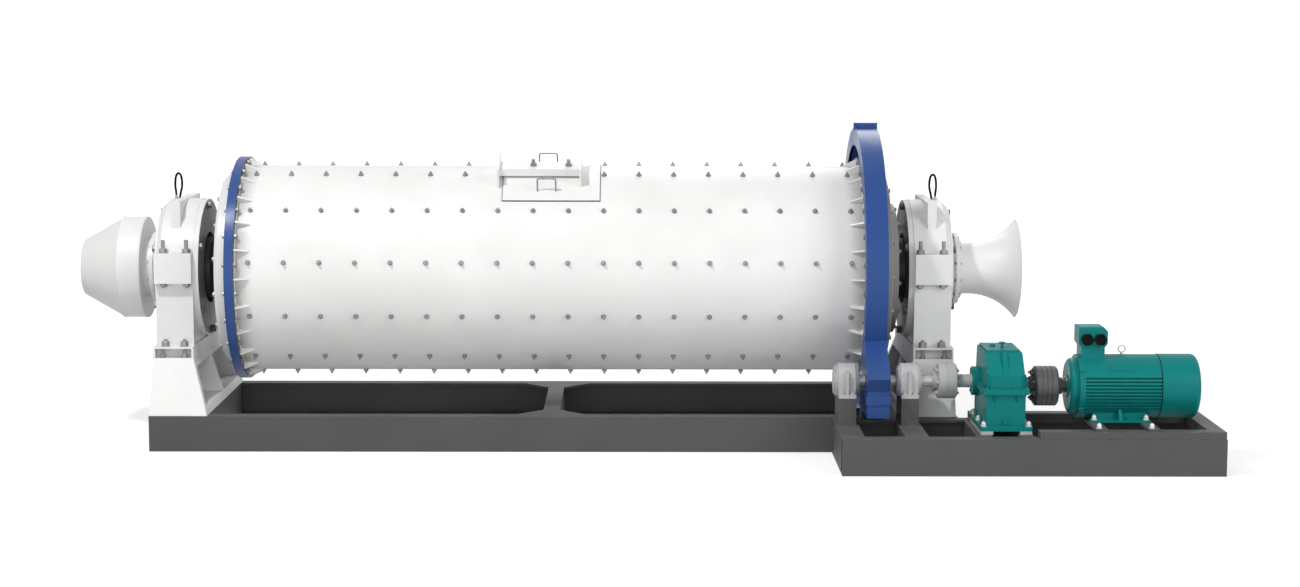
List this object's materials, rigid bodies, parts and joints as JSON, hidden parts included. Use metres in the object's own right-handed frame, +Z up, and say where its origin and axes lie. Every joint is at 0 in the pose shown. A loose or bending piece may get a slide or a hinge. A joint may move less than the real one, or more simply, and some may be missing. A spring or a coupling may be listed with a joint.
{
  "type": "ball mill",
  "caption": "Horizontal grinding drum on two trunnion bearings, turned by a guarded girth gear, pinion, reducer and motor on steel base frames.",
  "frame": {"origin": "on the floor under the middle of the drum, at the middle cross beam of the main base", "axes": "+X along the drum axis towards the discharge end and drive, +Y away from the drive side, +Z up"},
  "size_m": [8.2287, 2.7421, 2.3545],
  "materials": {
    "white_paint": "satin white enamel",
    "blue_paint": "satin blue enamel",
    "light_grey_paint": "satin light grey enamel",
    "dark_grey_paint": "matt dark grey paint",
    "teal_paint": "semi-gloss teal enamel",
    "bare_steel": "machined",
    "dark_iron": "turned dark iron",
    "black_polymer": "matt black"
  },
  "bodies": {
    "root": {"feed_pedestal": "white_paint", "discharge_pedestal": "white_paint", "feed_bearing_base": "white_paint", "feed_bearing_cap": "white_paint", "feed_bearing_covers": "white_paint", "discharge_bearing_base": "white_paint", "discharge_bearing_cap": "white_paint", "discharge_bearing_covers": "white_paint", "gear_guard_front": "blue_paint", "gear_guard_rear": "blue_paint", "gear_guard_sump": "blue_paint", "pinion_bearings": "light_grey_paint", "reducer_packing_plates": "light_grey_paint", "main_base_side_beams": "dark_grey_paint", "main_base_cross_beams": "dark_grey_paint", "drive_base_side_beams": "dark_grey_paint", "drive_base_cross_beams": "dark_grey_paint", "motor_pad": "dark_grey_paint", "pinion_bearing_stands": "dark_grey_paint", "motor_rails": "dark_grey_paint", "reducer_case": "teal_paint", "reducer_cover": "teal_paint", "motor_body": "teal_paint", "motor_end_bell": "teal_paint", "motor_fan_cover": "teal_paint", "motor_feet": "teal_paint", "terminal_box": "teal_paint", "motor_eye_bolt": "bare_steel", "oil_loops": "black_polymer", "cable_glands": "black_polymer"},
    "drum": {"drum_shell": "white_paint", "feed_shell_flange": "blue_paint", "discharge_shell_flange": "blue_paint", "feed_head": "white_paint", "discharge_head": "white_paint", "feeder_back_plate": "white_paint", "drum_feeder": "white_paint", "discharge_trumpet": "white_paint", "girth_gear": "blue_paint", "manhole_cover": "white_paint", "manhole_bridge": "white_paint", "manhole_clamp_bolts": "bare_steel", "manhole_handles": "bare_steel"},
    "pinion": {"pinion_shaft": "bare_steel", "low_speed_coupling": "light_grey_paint"},
    "motor_shaft": {"high_speed_coupling": "dark_iron"}
  },
  "joints": [
    {"name": "drum_spin", "type": "hinge", "parent": "root", "child": "drum", "pos_m": [0, 0, 1.2585], "axis": [1, 0, 0], "continuous": true},
    {"name": "pinion_spin", "type": "hinge", "parent": "root", "child": "pinion", "pos_m": [2.3395, -0.97216, 0.555], "axis": [1, 0, 0], "continuous": true},
    {"name": "motor_spin", "type": "hinge", "parent": "root", "child": "motor_shaft", "pos_m": [3.54, -1.18716, 0.555], "axis": [1, 0, 0], "continuous": true}
  ],
  "couplings": [
    {"joint": "pinion_spin", "follows": "drum_spin", "ratio": -5.25},
    {"joint": "motor_spin", "follows": "drum_spin", "ratio": 37.275}
  ]
}
